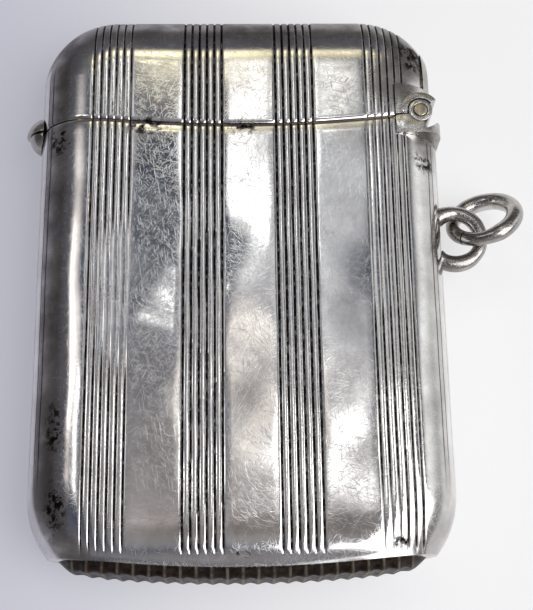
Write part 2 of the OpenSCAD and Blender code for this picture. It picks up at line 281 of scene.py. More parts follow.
# %% Striker, gilding, brass and spring steel
def plain_metal(name, light, shade, rough, grain_mm, strength, stretch=(1.0, 1.0, 1.0), crest=None):
    """Metal with a two-tone grain; crest is the colour on worn crests, by attribute."""
    material, tree, shader, place = start_material(name)
    scaled = add(tree, "ShaderNodeMapping", {
        "Vector": place, "Scale": tuple(s / (grain_mm * MM) for s in stretch)})
    grain = add(tree, "ShaderNodeTexNoise", {
        "Vector": scaled, "Scale": 1.0, "Detail": 4.0, "Roughness": 0.6})
    tone = add(tree, RANGE, {0: grain, 1: 0.3, 2: 0.7, 3: 0.0, 4: 1.0})
    colour = add(tree, "ShaderNodeMix", {0: tone, 6: linear(light), 7: linear(shade)},
                 data_type="RGBA").outputs[2]
    if crest:
        worn = add(tree, "ShaderNodeAttribute", attribute_name="crest")
        patch = add(tree, MATH, {0: worn.outputs["Fac"], 1: tone}, operation="MULTIPLY")
        colour = add(tree, "ShaderNodeMix", {0: patch, 6: colour, 7: linear(crest)},
                     data_type="RGBA").outputs[2]
    tree.links.new(colour, shader.inputs["Base Color"])
    spread = add(tree, RANGE, {0: grain, 1: 0.3, 2: 0.7, 3: rough * 0.75, 4: rough * 1.3})
    tree.links.new(spread.outputs[0], shader.inputs["Roughness"])
    shader.inputs["Metallic"].default_value = 1.0
    bump = add(tree, "ShaderNodeBump", {"Height": grain, "Strength": strength, "Distance": 0.02 * MM})
    tree.links.new(bump.outputs[0], shader.inputs["Normal"])
    return material


# Dull near-black with pale crests, a warm yellow sheen, satin straw yellow and dull blue-grey
striker_silver = plain_metal("oxidised_striker_silver", "#3A312B", "#1A1512", 0.5, 0.5, 0.5,
                             crest="#8A7F74")
gilding = plain_metal("worn_gilding", "#D9B878", "#A88D62", 0.22, 1.2, 0.3)
pin_brass = plain_metal("filed_brass", "#D3CCB6", "#A59A80", 0.24, 0.35, 0.35, (1.0, 0.25, 1.0))
blued_steel = plain_metal("blued_spring_steel", "#6E7480", "#474B54", 0.32, 0.4, 0.3, (1.0, 0.1, 1.0))
print("other metals:", striker_silver.name, gilding.name, pin_brass.name, blued_steel.name)

# %% [markdown]
# ## The engraved lines
# Four bands of six lines run down each face and over the top edge of the lid. They were cut with
# a graver along a rule, so they follow one: a band spacing, a line spacing, a width and a depth.
# A Geometry Nodes tree presses them into any skin: it finds each point's distance from its
# nearest line, sinks the point along the skin's own normal and stores how dark the oxide is.

# %% A node tree that engraves
BANDS, LINES = 4, 6
BAND_PITCH, LINE_PITCH, BAND_SHIFT = 7.52, 0.614, 0.77
LINE_SIZES = {
    "Band Spacing": BAND_PITCH * MM, "Line Spacing": LINE_PITCH * MM, "Pattern Shift": BAND_SHIFT * MM,
    "Bands": float(BANDS), "Lines": float(LINES), "Line Depth": 0.12 * MM, "Floor Half Width": 0.05 * MM,
    "Cut Half Width": 0.11 * MM, "Foot": (BASE_Y + 1.0) * MM, "Foot Length": 0.5 * MM,
    "Outer Wear": 0.32,
}


def new_tree(name, sizes, geometry_in):
    """An empty Geometry Nodes tree with a named float input for every size."""
    tree = bpy.data.node_groups.new(name, "GeometryNodeTree")
    if geometry_in:
        tree.interface.new_socket("Geometry", in_out="INPUT", socket_type="NodeSocketGeometry")
    tree.interface.new_socket("Geometry", in_out="OUTPUT", socket_type="NodeSocketGeometry")
    settings = {}
    for label, value in sizes.items():
        socket = tree.interface.new_socket(label, in_out="INPUT", socket_type="NodeSocketFloat")
        socket.default_value = value
        settings[socket.identifier] = value
    group_in = add(tree, "NodeGroupInput").outputs
    group_out = add(tree, "NodeGroupOutput")
    return tree, group_in, group_out, settings


def nearest(tree, value, spacing, count):
    """Distance of a field from the nearest of count marks set evenly about zero."""
    half = add(tree, MATH, {0: count, 1: -0.5, 2: 0.5}, operation="MULTIPLY_ADD")
    steps = add(tree, MATH, {0: value, 1: spacing}, operation="DIVIDE")
    first = add(tree, MATH, {0: steps, 1: half}, operation="SUBTRACT")
    whole = add(tree, MATH, {0: first}, operation="ROUND")
    last = add(tree, MATH, {0: count, 1: 1.0}, operation="SUBTRACT")
    kept = add(tree, "ShaderNodeClamp", {0: whole, 1: 0.0, 2: last})
    mark = add(tree, MATH, {0: kept, 1: half}, operation="ADD")
    place = add(tree, MATH, {0: mark, 1: spacing}, operation="MULTIPLY")
    return add(tree, MATH, {0: value, 1: place}, operation="SUBTRACT")


engraver, size, group_out, line_settings = new_tree("engraved_lines", LINE_SIZES, True)
point = add(engraver, "GeometryNodeInputPosition").outputs[0]
axes = add(engraver, "ShaderNodeSeparateXYZ", {0: point}).outputs
across = add(engraver, MATH, {0: axes[0], 1: size["Pattern Shift"]}, operation="SUBTRACT")
in_band = nearest(engraver, across.outputs[0], size["Band Spacing"], size["Bands"])
off_line = nearest(engraver, in_band, size["Line Spacing"], size["Lines"])
away = add(engraver, MATH, {0: off_line}, operation="ABSOLUTE")
half_pitch = add(engraver, MATH, {0: size["Line Spacing"], 1: 0.5}, operation="MULTIPLY")
cut = add(engraver, RANGE, {
    0: away, 1: size["Floor Half Width"], 2: size["Cut Half Width"], 3: 0.82, 4: 0.0})
reed = add(engraver, RANGE, {0: away, 1: size["Cut Half Width"], 2: half_pitch, 3: 1.0, 4: 0.0})
round_reed = add(engraver, MATH, {0: reed, 1: 2.0}, operation="POWER")
profile = add(engraver, MATH, {0: round_reed, 1: 0.18, 2: cut}, operation="MULTIPLY_ADD")
foot_end = add(engraver, MATH, {0: size["Foot"], 1: size["Foot Length"]}, operation="ADD")
foot = add(engraver, RANGE, {0: axes[1], 1: size["Foot"], 2: foot_end, 3: 0.0, 4: 1.0})
wear = add(engraver, "ShaderNodeTexNoise", {"Vector": point, "Scale": 1 / (7.0 * MM), "Detail": 2.0})
kept = add(engraver, RANGE, {0: wear, 1: 0.3, 2: 0.55, 3: 0.55, 4: 1.0})
off_middle = add(engraver, MATH, {0: across}, operation="ABSOLUTE")
outer = add(engraver, MATH, {0: off_middle, 1: size["Band Spacing"]}, operation="GREATER_THAN")
rubbed = add(engraver, MATH, {0: outer, 1: size["Outer Wear"]}, operation="MULTIPLY")
kept = add(engraver, MATH, {0: kept, 1: rubbed}, operation="SUBTRACT")
strength = add(engraver, MATH, {0: foot, 1: kept}, operation="MULTIPLY", use_clamp=True)
outside = add(engraver, "GeometryNodeInputNamedAttribute", {"Name": "outside"}, data_type="FLOAT")
on_skin = add(engraver, MATH, {0: strength, 1: outside}, operation="MULTIPLY")
sunk = add(engraver, MATH, {0: profile, 1: on_skin}, operation="MULTIPLY")
depth = add(engraver, MATH, {0: sunk, 1: size["Line Depth"]}, operation="MULTIPLY")
inward = add(engraver, MATH, {0: depth, 1: -1.0}, operation="MULTIPLY")
skin_normal = add(engraver, "GeometryNodeInputNamedAttribute", {"Name": "skin_normal"},
                  data_type="FLOAT_VECTOR")
offset = add(engraver, "ShaderNodeVectorMath", {0: skin_normal, "Scale": inward}, operation="SCALE")
dark = add(engraver, RANGE, {0: sunk, 1: 0.22, 2: 0.45, 3: 0.0, 4: 1.0})
stored = add(engraver, "GeometryNodeStoreNamedAttribute", {
    "Geometry": size["Geometry"], "Name": "oxide", "Value": dark}, data_type="FLOAT")
moved = add(engraver, "GeometryNodeSetPosition", {"Geometry": stored, "Offset": offset})
whole = add(engraver, "GeometryNodeRealizeInstances", {0: moved})
coated = add(engraver, "GeometryNodeSetMaterial", {"Geometry": whole, "Material": worn_silver})
engraver.links.new(coated.outputs[0], group_out.inputs[0])
print("engraving tree:", len(engraver.nodes), "nodes")

# %% [markdown]
# ## The silver shells
# Body and lid were each stamped as a front and a back half and soldered along the edge. A skin
# like this could be a subdivided box, but then its edge would not be truly round and the lines
# would cross its faces. So the skin is laid out as a grid of columns that run along the lines:
# straight up the flat face and over the round edge, with a denser column wherever a line is cut.

# %% The grid of one half shell
COLUMN_X = 14.0      # columns run straight up to here, and fan round the corners outside
EDGE_ROWS, FLAT_ROWS, SIDE_ROWS, CORNER_ROWS = 14, 46, 9, 14
# Rows beside the mouth, in mm from it, where the sheet rolls in
LIP, LIP_DEPTH = (0.0, 0.05, 0.13, 0.28), 0.08


def column_places():
    """Places across the case: fine steps at every line, coarser ones between the bands."""
    steps = (0, 0.05, 0.08, 0.11, 0.15, 0.21, 0.307)
    lines = [BAND_SHIFT + (band - (BANDS - 1) / 2) * BAND_PITCH + (line - (LINES - 1) / 2) * LINE_PITCH
             for band in range(BANDS) for line in range(LINES)]
    places = {round(x + sign * off, 3) for x in lines for off in steps for sign in (-1, 1)}
    places = sorted(p for p in places | {-COLUMN_X, COLUMN_X, 0.0} if abs(p) <= COLUMN_X)
    thinned = [places[0]]
    for place in places[1:]:
        if place - thinned[-1] > 0.6:
            count = int(math.ceil((place - thinned[-1]) / 0.5))
            thinned += list(np.linspace(thinned[-1], place, count + 1)[1:-1])
        if place - thinned[-1] > 0.012:
            thinned.append(place)
    thinned[-1] = COLUMN_X
    return np.array(thinned)


def step(value, start, end):
    """0 before start, 1 after end, smooth between."""
    t = min(max((value - start) / (end - start), 0.0), 1.0)
    return t * t * (3 - 2 * t)


# Depth of each soft wave in mm, its run along x and y in radians per mm, and its start
WAVES = ((0.030, 0.33, 0.21, 0.6), (0.026, -0.29, 0.37, 2.0), (0.012, 0.83, -0.47, 1.1),
         (0.009, 0.55, 1.03, 4.0))


def dents(x, y):
    """Crown and soft dents that years in a pocket leave in thin sheet, in mm, fewer at both ends."""
    crown = 0.10 * (1 - np.square(x / 14)) * (1 - np.square(y / 26)) - 0.16
    waves = sum(deep * np.sin(run_x * x + run_y * y + start) for deep, run_x, run_y, start in WAVES)
    return crown + waves * (1 - 0.75 * step(y, 6, 13)) * (1 - 0.6 * step(-y, 12, 19))


SHOULDER = 1.5       # the flat bends into the round side over this length, before and after its edge


def shoulder(d):
    """Drop of the skin, in mm, at a distance d past the edge of the flat."""
    rise = (SHOULDER - min(abs(d), SHOULDER)) ** 3 / (12 * SHOULDER * BALL_R)
    return rise if d < 0 else SHOULDER ** 2 / (6 * BALL_R) - rise


def near(x, y, spot_x, spot_y, reach_x, reach_y):
    """1 at a spot, falling softly to 0 at its reach."""
    away = math.hypot((x - spot_x) / reach_x, (y - spot_y) / reach_y)
    return 1 - step(away, 0.35, 1.0)


# Places with black specks, and the one where a thumb has worn the front's lines: x, y and reach
GRIME = ((-14.6, 11.6, 1.6, 2.2), (-14.2, -12.5, 1.3, 3.4), (-14.0, -18.6, 1.6, 3.2),
         (-7.6, MOUTH_Y - 0.2, 2.6, 1.5), (0.3, MOUTH_Y - 0.3, 1.8, 1.0), (0.0, BASE_Y + 1.0, 1.2, 0.6),
         (11.9, BASE_Y + 1.7, 1.2, 0.8), (14.4, 19.2, 1.9, 2.4), (15.2, 9.6, 1.4, 1.4))
RUBBED = (-9.4, -2.2, 3.4, 9.0)


def hinge_tarnish(x, y):
    """Tarnish in the corners round the hinge, where no cloth gets in."""
    return max(0.8 * near(x, y, HINGE_X - 2.4, HINGE_Y + 2.6, 2.6, 3.4),
               0.7 * near(x, y, HINGE_X + 0.2, HINGE_Y - 2.6, 1.7, 2.6))


def tarnish_and_shade_of(x, y, normal):
    """How much brown-grey colour a point gets: painted dark reflection and shade in bands along the round edges,
    more at the top corner by the hinge, and tarnish round the hinge.
    """
    tilt = math.degrees(math.acos(min(max(normal[2], -1.0), 1.0)))
    # Painted dark reflection and shade: bands on the left, right, top and base edges by how far the skin tilts
    band = step(tilt, 20, 28) * (1 - step(tilt, 54, 62))
    left = 0.8 * band * step(-normal[0], 0.1, 0.3)
    right_side = 0.35 * band * step(normal[0], 0.1, 0.3)
    top = 0.85 * step(tilt, 10, 24) * step(normal[1], 0.08, 0.3)
    base = 0.3 * step(tilt, 4, 30) * step(-normal[1], 0.03, 0.3)
    corner = 0.8 * near(x, y, 14.2, 18.8, 2.6, 3.4)
    return max(left, right_side, top, base, corner, hinge_tarnish(x, y))


class Skin:
    """Collects faces, and points with their normals, tarnish and painted shade, grime and share of the side lines.
    """

    def __init__(self):
        self.points, self.normals, self.faces = [], [], []
        self.stains, self.grimes, self.sides = [], [], []

    def add(self, point, normal):
        self.points.append(point)
        self.normals.append(normal)
        self.stains.append(tarnish_and_shade_of(point[0], point[1], normal))
        self.grimes.append(max(near(point[0], point[1], *spot) for spot in GRIME))
        self.sides.append(0.75 * step(abs(normal[0]), 0.5, 0.6) * (1 - step(abs(point[1] - 1.0), 15, 19)))
        return len(self.points) - 1


def half_skin(is_lid, ball_r, lip_depth):
    """One skin of a half shell at a ball radius: outer at BALL_R, inner at BALL_R - WALL."""
    corner_r = TOP_CORNER_R if is_lid else BASE_CORNER_R
    up = 1 if is_lid else -1
    centre_x = SIDE_X - corner_r
    centre_y = TOP_Y - corner_r if is_lid else -(BASE_Y - BASE_CUT + corner_r)
    rho = corner_r - BALL_R
    skin = Skin()

    def lean(x):
        return math.asin(min(max((abs(x) - PLATE_X) / ball_r, 0.0), 1.0))

    def start(x):
        return up * (float(mouth(x)) + up * SEAM_GAP / 2)

    def edge_end(x):
        """Angle at which a column ends: the middle plane, or the cut of the base."""
        if is_lid:
            return math.pi / 2
        reach = -(BASE_Y + float(bow(x)))
        distance = math.hypot(reach - centre_y, max(abs(x) - centre_x, 0.0))
        return math.asin(min((distance - rho) / ball_r, 1.0))

    def run(x, end_y):
        """Heights of the rows from the mouth to end_y, finer at the lip."""
        y0 = start(x)
        rest = np.linspace(LIP[-1], end_y - y0, FLAT_ROWS - len(LIP) + 2)[1:]
        return [y0 + e for e in LIP] + [y0 + e for e in rest]

    def lip(row):
        return -lip_depth * (1 - LIP[row] / LIP[-1]) ** 2 if row < len(LIP) else 0.0

    def rim(row):
        """The body's lower edge turns out a little where the striker is let in."""
        return 0.0 if is_lid else {EDGE_ROWS: 0.07, EDGE_ROWS - 1: 0.025}.get(row, 0.0)

    def put(x, y, z, normal, drop=0.0):
        n = np.array(normal)
        qx, qy = abs(x) - centre_x, y - centre_y
        past = math.hypot(max(qx, 0.0), max(qy, 0.0)) + min(max(qx, qy), 0.0) - rho
        shift = drop + (dents(x, up * y) - shoulder(past)) * normal[2]
        p = np.array((x, y, z)) + n * shift
        return skin.add((p[0], up * p[1], MID_Z + p[2]), (n[0], up * n[1], n[2]))

    places = column_places()
    grid = []
    for x in places:
        theta = lean(x)
        sign = math.copysign(1.0, x)
        dx = max(abs(x) - centre_x, 0.0)
        flat_end = centre_y + math.sqrt(max((rho + ball_r * math.sin(theta)) ** 2 - dx ** 2, 0.0))
        normal = (sign * math.sin(theta), 0.0, math.cos(theta))
        column = [put(x, y, ball_r * math.cos(theta), normal, lip(i))
                  for i, y in enumerate(run(x, flat_end))]
        for k in range(1, EDGE_ROWS + 1):
            s = theta + (edge_end(x) - theta) * k / EDGE_ROWS
            reach = rho + ball_r * math.sin(s)
            side = math.sqrt(max(reach ** 2 - dx ** 2, 0.0))
            normal = (sign * math.sin(s) * dx / reach, math.sin(s) * side / reach, math.cos(s))
            column.append(put(x, centre_y + side, ball_r * math.cos(s), normal, rim(k)))
        grid.append(column)
    for left, right in zip(grid, grid[1:]):
        for row in range(len(left) - 1):
            skin.faces.append((left[row], right[row], right[row + 1], left[row + 1]))

    theta0, join_end = lean(COLUMN_X), edge_end(COLUMN_X)
    angles = [theta0 + (join_end - theta0) * k / EDGE_ROWS for k in range(EDGE_ROWS + 1)]
    if not is_lid:
        angles += list(np.linspace(join_end, math.pi / 2, SIDE_ROWS)[1:])
    for sign, column in ((1.0, grid[-1]), (-1.0, grid[0])):
        side = [column[:FLAT_ROWS + 1]]
        for theta in angles[1:]:
            x = sign * (PLATE_X + ball_r * math.sin(theta))
            normal = (sign * math.sin(theta), 0.0, math.cos(theta))
            side.append([put(x, y, ball_r * math.cos(theta), normal, lip(i))
                         for i, y in enumerate(run(x, centre_y))])
        corner = [[column[FLAT_ROWS]] * (CORNER_ROWS + 1)]
        for k, theta in enumerate(angles[1:], 1):
            reach = rho + ball_r * math.sin(theta)
            if k <= EDGE_ROWS:
                full = math.acos(min((COLUMN_X - centre_x) / reach, 1.0))
            else:
                full = 0.5
                for _ in range(30):
                    goal = -(BASE_Y + float(bow(centre_x + reach * math.cos(full)))) - centre_y
                    full = math.asin(min(goal / reach, 1.0))
            ring = [side[k][FLAT_ROWS]]
            for j in range(1, CORNER_ROWS + 1):
                if j == CORNER_ROWS and k <= EDGE_ROWS:
                    ring.append(column[FLAT_ROWS + k])
                    continue
                phi = full * j / CORNER_ROWS
                flat = (sign * math.cos(phi), math.sin(phi))
                normal = (flat[0] * math.sin(theta), flat[1] * math.sin(theta), math.cos(theta))
                ring.append(put(sign * centre_x + reach * flat[0], centre_y + reach * flat[1],
                                ball_r * math.cos(theta), normal))
            corner.append(ring)
        for block in (side, corner):
            for one, two in zip(block, block[1:]):
                for row in range(len(one) - 1):
                    face = (one[row], two[row], two[row + 1], one[row + 1])
                    skin.faces.append(tuple(dict.fromkeys(face)))
    return skin


print("columns across the case:", len(column_places()))

# %% [markdown]
# ## From skins to sheet metal
# The outer skin is joined to an inner one, 0.55 mm below it, along every open edge, so each half
# is a closed sheet of real thickness. The node tree then engraves it, and a Boolean cuts the place
# where the hinge sits, before the result becomes a plain mesh.

# %% Closed shells with a place for the hinge
BEARER_W, BEARER_DROP, BEARER_RISE, BEARER_PLATE, LID_RELIEF = 3.85, 2.05, 1.95, 0.55, 0.7
BEARER_X = SIDE_X - BEARER_W
ROOF_Y = HINGE_Y + BEARER_RISE + BEARER_PLATE
LID_SIDE_X = SIDE_X - LID_RELIEF
RELIEF_Y = (TOP_Y - TOP_CORNER_R
            + math.sqrt(TOP_CORNER_R ** 2 - (LID_SIDE_X - SIDE_X + TOP_CORNER_R) ** 2))


def prism(outline, low_z, high_z):
    """A straight block over an outline in the plane of the case."""
    n = len(outline)
    points = [(x, y, z) for z in (low_z, high_z) for x, y in outline]
    faces = [tuple(range(n)), tuple(range(n, 2 * n))]
    faces += [(i, (i + 1) % n, n + (i + 1) % n, n + i) for i in range(n)]
    return mesh_of(points, faces)


def sheet_metal(is_lid, is_front):
    """A closed half shell, not yet engraved, with the attributes that the tree and the silver read."""
    outer = half_skin(is_lid, BALL_R, LIP_DEPTH)
    inner = half_skin(is_lid, BALL_R - WALL, 0.0)
    count = len(outer.points)
    edges = {}
    for face in outer.faces:
        for a, b in zip(face, face[1:] + face[:1]):
            key = (min(a, b), max(a, b))
            edges[key] = edges.get(key, 0) + 1
    rims = [(a, b, b + count, a + count) for (a, b), uses in edges.items() if uses == 1]
    faces = outer.faces + [tuple(i + count for i in f) for f in inner.faces] + rims
    points = np.array(outer.points + inner.points)
    normals = np.array(outer.normals + inner.normals)
    if not is_front:
        points[:, 2] = 2 * MID_Z - points[:, 2]
        normals[:, 2] *= -1
    mesh = bpy.data.meshes.new("sheet")
    mesh.from_pydata((points * MM).tolist(), [], faces)
    outside = mesh.attributes.new("outside", "FLOAT", "POINT")
    rubbed = np.array([near(x, y, *RUBBED) if is_front else 0.0 for x, y, _ in outer.points])
    outside.data.foreach_set("value", np.append(1 - 0.8 * rubbed, np.zeros(count)).astype(np.float32))
    for label, values in (("stain", outer.stains + inner.stains), ("grime", outer.grimes + inner.grimes),
                          ("side", outer.sides + inner.sides)):
        layer = mesh.attributes.new(label, "FLOAT", "POINT")
        layer.data.foreach_set("value", np.array(values, np.float32))
    normal = mesh.attributes.new("skin_normal", "FLOAT_VECTOR", "POINT")
    normal.data.foreach_set("vector", normals.astype(np.float32).ravel())
    bm = bmesh.new()
    bm.from_mesh(mesh)
    bmesh.ops.recalc_face_normals(bm, faces=bm.faces)
    bm.to_mesh(mesh)
    bm.free()
    return mesh


# Past the case along its face, and under and over it, so that the cutters reach right through
BELOW, BEYOND, UNDER, OVER = -30.0, 30.0, -2.0, 11.0
NOTCH_Y, RELIEF_X = HINGE_Y - BEARER_DROP, LID_SIDE_X - BEARER_PLATE
body_notch = prism([(BEARER_X, NOTCH_Y), (BEYOND, NOTCH_Y), (BEYOND, BEYOND), (BEARER_X, BEYOND)],
                   UNDER, OVER)
lid_notch = prism([(BEARER_X, BELOW), (BEYOND, BELOW), (BEYOND, RELIEF_Y), (RELIEF_X, RELIEF_Y),
                   (RELIEF_X, ROOF_Y), (BEARER_X, ROOF_Y)], UNDER, OVER)
for part, notch in (("body", body_notch), ("lid", lid_notch)):
    cutter = placed("cutter", notch)
    for half in ("front", "back"):
        sheet = sheet_metal(part == "lid", half == "front")
        shell = baked(sheet,
                      ("NODES", {"node_group": engraver, **line_settings}),
                      ("BOOLEAN", {"object": cutter, "operation": "DIFFERENCE", "solver": "EXACT"}))
        finished(f"{part}_{half}_sheet", shell, worn_silver, "lid" if part == "lid" else "case",
                 [f"{part}_{half}_shell"], 42)
    bpy.data.objects.remove(cutter)

# %% [markdown]
# ## The striker
# The base is a plate let into the lower edge, with a row of ribs that a match is struck on. The ribs
# could be copies of one rib set on a plate, but their feet would show as seams. So Geometry Nodes
# bends one fine block along the bow, raises a crest at every rib by a rule, and holds the block to
# the rounded form of the base.

# %% The ribbed plate by a node tree
PLATE_GAP = 0.03      # between the plate and the inside of the shells
RIB_SIZES = {
    "Rib Count": 25.0, "Rib Spacing": 1.17 * MM, "Rib Height": RIB_H * MM,
    "Bow Radius": BOW_R * MM, "Base": BASE_Y * MM, "Plate Thickness": 0.9 * MM,
    "Plate Proud": PLATE_PROUD * MM, "Groove Share": 0.09,
    "Corner X": (SIDE_X - BASE_CORNER_R) * MM, "Corner Y": (BASE_Y - BASE_CUT + BASE_CORNER_R) * MM,
    "Core Radius": (BASE_CORNER_R - BALL_R) * MM, "Ball Radius": (BALL_R - WALL - PLATE_GAP) * MM,
    "Half Length": 14.75 * MM, "Middle": MID_Z * MM,
}
ribs, size, group_out, rib_settings = new_tree("striker_ribs", RIB_SIZES, False)


def held_in_form(tree, x, y):
    """Keep a point inside the rounded base, and give half the width of the base there."""
    wide = add(tree, MATH, {0: x}, operation="ABSOLUTE")
    past = add(tree, MATH, {0: wide, 1: size["Corner X"]}, operation="SUBTRACT")
    dx = add(tree, MATH, {0: past, 1: 0.0}, operation="MAXIMUM")
    dy = add(tree, MATH, {0: y, 1: size["Corner Y"]}, operation="SUBTRACT")
    flat = add(tree, "ShaderNodeCombineXYZ", {0: dx, 1: dy})
    reach = add(tree, "ShaderNodeVectorMath", {0: flat}, operation="LENGTH").outputs["Value"]
    limit = add(tree, MATH, {0: size["Core Radius"], 1: size["Ball Radius"]}, operation="ADD")
    share = add(tree, MATH, {0: limit, 1: reach}, operation="DIVIDE")
    share = add(tree, MATH, {0: share, 1: 1.0}, operation="MINIMUM")
    kept = add(tree, MATH, {0: dx, 1: share}, operation="MULTIPLY")
    lost = add(tree, MATH, {0: dx, 1: kept}, operation="SUBTRACT")
    side = add(tree, MATH, {0: x}, operation="SIGN")
    back = add(tree, MATH, {0: lost, 1: side}, operation="MULTIPLY")
    held_x = add(tree, MATH, {0: x, 1: back}, operation="SUBTRACT")
    held_y = add(tree, MATH, {0: dy, 1: share, 2: size["Corner Y"]}, operation="MULTIPLY_ADD")
    held = add(tree, MATH, {0: reach, 1: share}, operation="MULTIPLY")
    over = add(tree, MATH, {0: held, 1: size["Core Radius"]}, operation="SUBTRACT")
    over = add(tree, MATH, {0: over, 1: 2.0}, operation="POWER")
    ball = add(tree, MATH, {0: size["Ball Radius"], 1: 2.0}, operation="POWER")
    left = add(tree, MATH, {0: ball, 1: over}, operation="SUBTRACT")
    left = add(tree, MATH, {0: left, 1: 1e-9}, operation="MAXIMUM")
    half = add(tree, MATH, {0: left, 1: 0.5}, operation="POWER")
    return held_x.outputs[0], held_y.outputs[0], half.outputs[0]


def on_bow(tree, angle, inset):
    """Place on the bow at an angle from its middle, inset towards the bow's centre."""
    radius = add(tree, MATH, {0: size["Bow Radius"], 1: inset}, operation="SUBTRACT")
    sine = add(tree, MATH, {0: angle}, operation="SINE")
    cosine = add(tree, MATH, {0: angle}, operation="COSINE")
    x = add(tree, MATH, {0: radius, 1: sine}, operation="MULTIPLY")
    drop = add(tree, MATH, {0: radius, 1: cosine}, operation="MULTIPLY")
    centre = add(tree, MATH, {0: size["Base"], 1: size["Bow Radius"]}, operation="ADD")
    y = add(tree, MATH, {0: centre, 1: drop}, operation="SUBTRACT")
    return x.outputs[0], y.outputs[0]


block = add(ribs, "GeometryNodeMeshCube", {
    "Size": (2.0, 2.0, 2.0), "Vertices X": 431, "Vertices Y": 11, "Vertices Z": 9})
spot = add(ribs, "ShaderNodeSeparateXYZ", {0: add(ribs, "GeometryNodeInputPosition").outputs[0]})
reach = add(ribs, MATH, {0: size["Half Length"], 1: size["Bow Radius"]}, operation="DIVIDE")
swept = add(ribs, MATH, {0: spot, 1: reach}, operation="MULTIPLY")
pitch = add(ribs, MATH, {0: size["Rib Spacing"], 1: size["Bow Radius"]}, operation="DIVIDE")
off_crest = nearest(ribs, swept.outputs[0], pitch.outputs[0], size["Rib Count"])
off_crest = add(ribs, MATH, {0: off_crest}, operation="ABSOLUTE")
in_flute = add(ribs, MATH, {0: off_crest, 1: pitch}, operation="DIVIDE")
flute = add(ribs, RANGE, {0: in_flute, 1: 0.06, 2: 0.5, 3: 1.0, 4: 0.0})
crest = add(ribs, MATH, {0: flute, 1: 1.5}, operation="POWER")
level = add(ribs, MATH, {0: spot.outputs[1], 1: 0.5, 2: 0.5}, operation="MULTIPLY_ADD")
out_of_shell = add(ribs, RANGE, {0: level, 1: 0.2, 2: 0.42, 3: 1.0, 4: 0.0})
under = add(ribs, RANGE, {0: level, 1: 0.0, 2: 0.4, 3: 1.0, 4: 0.0})
body_of_rib = add(ribs, MATH, {0: crest, 1: 0.35, 2: 0.65}, operation="MULTIPLY_ADD")
rib_out = add(ribs, MATH, {0: body_of_rib, 1: size["Rib Height"]}, operation="MULTIPLY")
rib_out = add(ribs, MATH, {0: rib_out, 1: under, 2: size["Plate Proud"]}, operation="MULTIPLY_ADD")
inset = add(ribs, MATH, {0: level, 1: size["Plate Thickness"]}, operation="MULTIPLY")
inset = add(ribs, MATH, {0: inset, 1: rib_out}, operation="SUBTRACT")
bright = add(ribs, MATH, {0: crest, 1: 12.0}, operation="POWER")
plate_x, plate_y, base_half = held_in_form(ribs, *on_bow(ribs, swept.outputs[0], inset.outputs[0]))
valley = add(ribs, MATH, {0: 1.0, 1: crest}, operation="SUBTRACT")
groove = add(ribs, MATH, {0: valley, 1: size["Groove Share"]}, operation="MULTIPLY")
groove = add(ribs, MATH, {0: groove, 1: out_of_shell}, operation="MULTIPLY")
kept_width = add(ribs, MATH, {0: 1.0, 1: groove}, operation="SUBTRACT")
wide = add(ribs, MATH, {0: base_half, 1: kept_width}, operation="MULTIPLY")
plate_z = add(ribs, MATH, {0: wide, 1: spot.outputs[2], 2: size["Middle"]}, operation="MULTIPLY_ADD")
plate_place = add(ribs, "ShaderNodeCombineXYZ", {0: plate_x, 1: plate_y, 2: plate_z})
marked = add(ribs, "GeometryNodeStoreNamedAttribute", {
    "Geometry": block.outputs["Mesh"], "Name": "crest", "Value": bright}, data_type="FLOAT")
plate = add(ribs, "GeometryNodeSetPosition", {"Geometry": marked, "Position": plate_place})
whole = add(ribs, "GeometryNodeRealizeInstances", {0: plate})
coated = add(ribs, "GeometryNodeSetMaterial", {"Geometry": whole, "Material": striker_silver})
ribs.links.new(coated.outputs[0], group_out.inputs[0])
striker = baked(bpy.data.meshes.new("seed"), ("NODES", {"node_group": ribs, **rib_settings}))
finished("striker_plate", striker, striker_silver, "case", ["base_striker"], 50)

# %% [markdown]
# ## Hinge, collar, spring and thumb piece
# These small pieces are already the right shape in the frame, but their edges are razor sharp,
# and a real edge always catches a line of light. A copy of each node is merged, its flat faces
# are joined, and a small bevel rounds the edges, by 0.05 mm on thin sheet and more on the block.

# %% Softened copies of the small nodes
def softened(node, name, material, body, slot, round_mm, sharp):
    """A copy of a CAD node with small round edges."""
    mesh = frame["nodes"][node].data.copy()
    bm = bmesh.new()
    bm.from_mesh(mesh)
    bmesh.ops.remove_doubles(bm, verts=bm.verts, dist=2e-7)
    bmesh.ops.dissolve_limit(bm, angle_limit=math.radians(0.6), verts=bm.verts, edges=bm.edges)
    bm.to_mesh(mesh)
    bm.free()
    for layer in [a.name for a in mesh.attributes if a.name == "custom_normal"]:
        mesh.attributes.remove(mesh.attributes[layer])
    rounded = baked(mesh, ("BEVEL", {
        "width": round_mm * MM, "segments": 3, "limit_method": "ANGLE",
        "angle_limit": math.radians(38), "use_clamp_overlap": True}))
    stain = rounded.attributes.new("stain", "FLOAT", "POINT")
    for vertex, value in zip(rounded.vertices, stain.data):
        value.value = hinge_tarnish(vertex.co.x / MM, vertex.co.y / MM)
    return finished(name, rounded, material, body, [node], sharp)


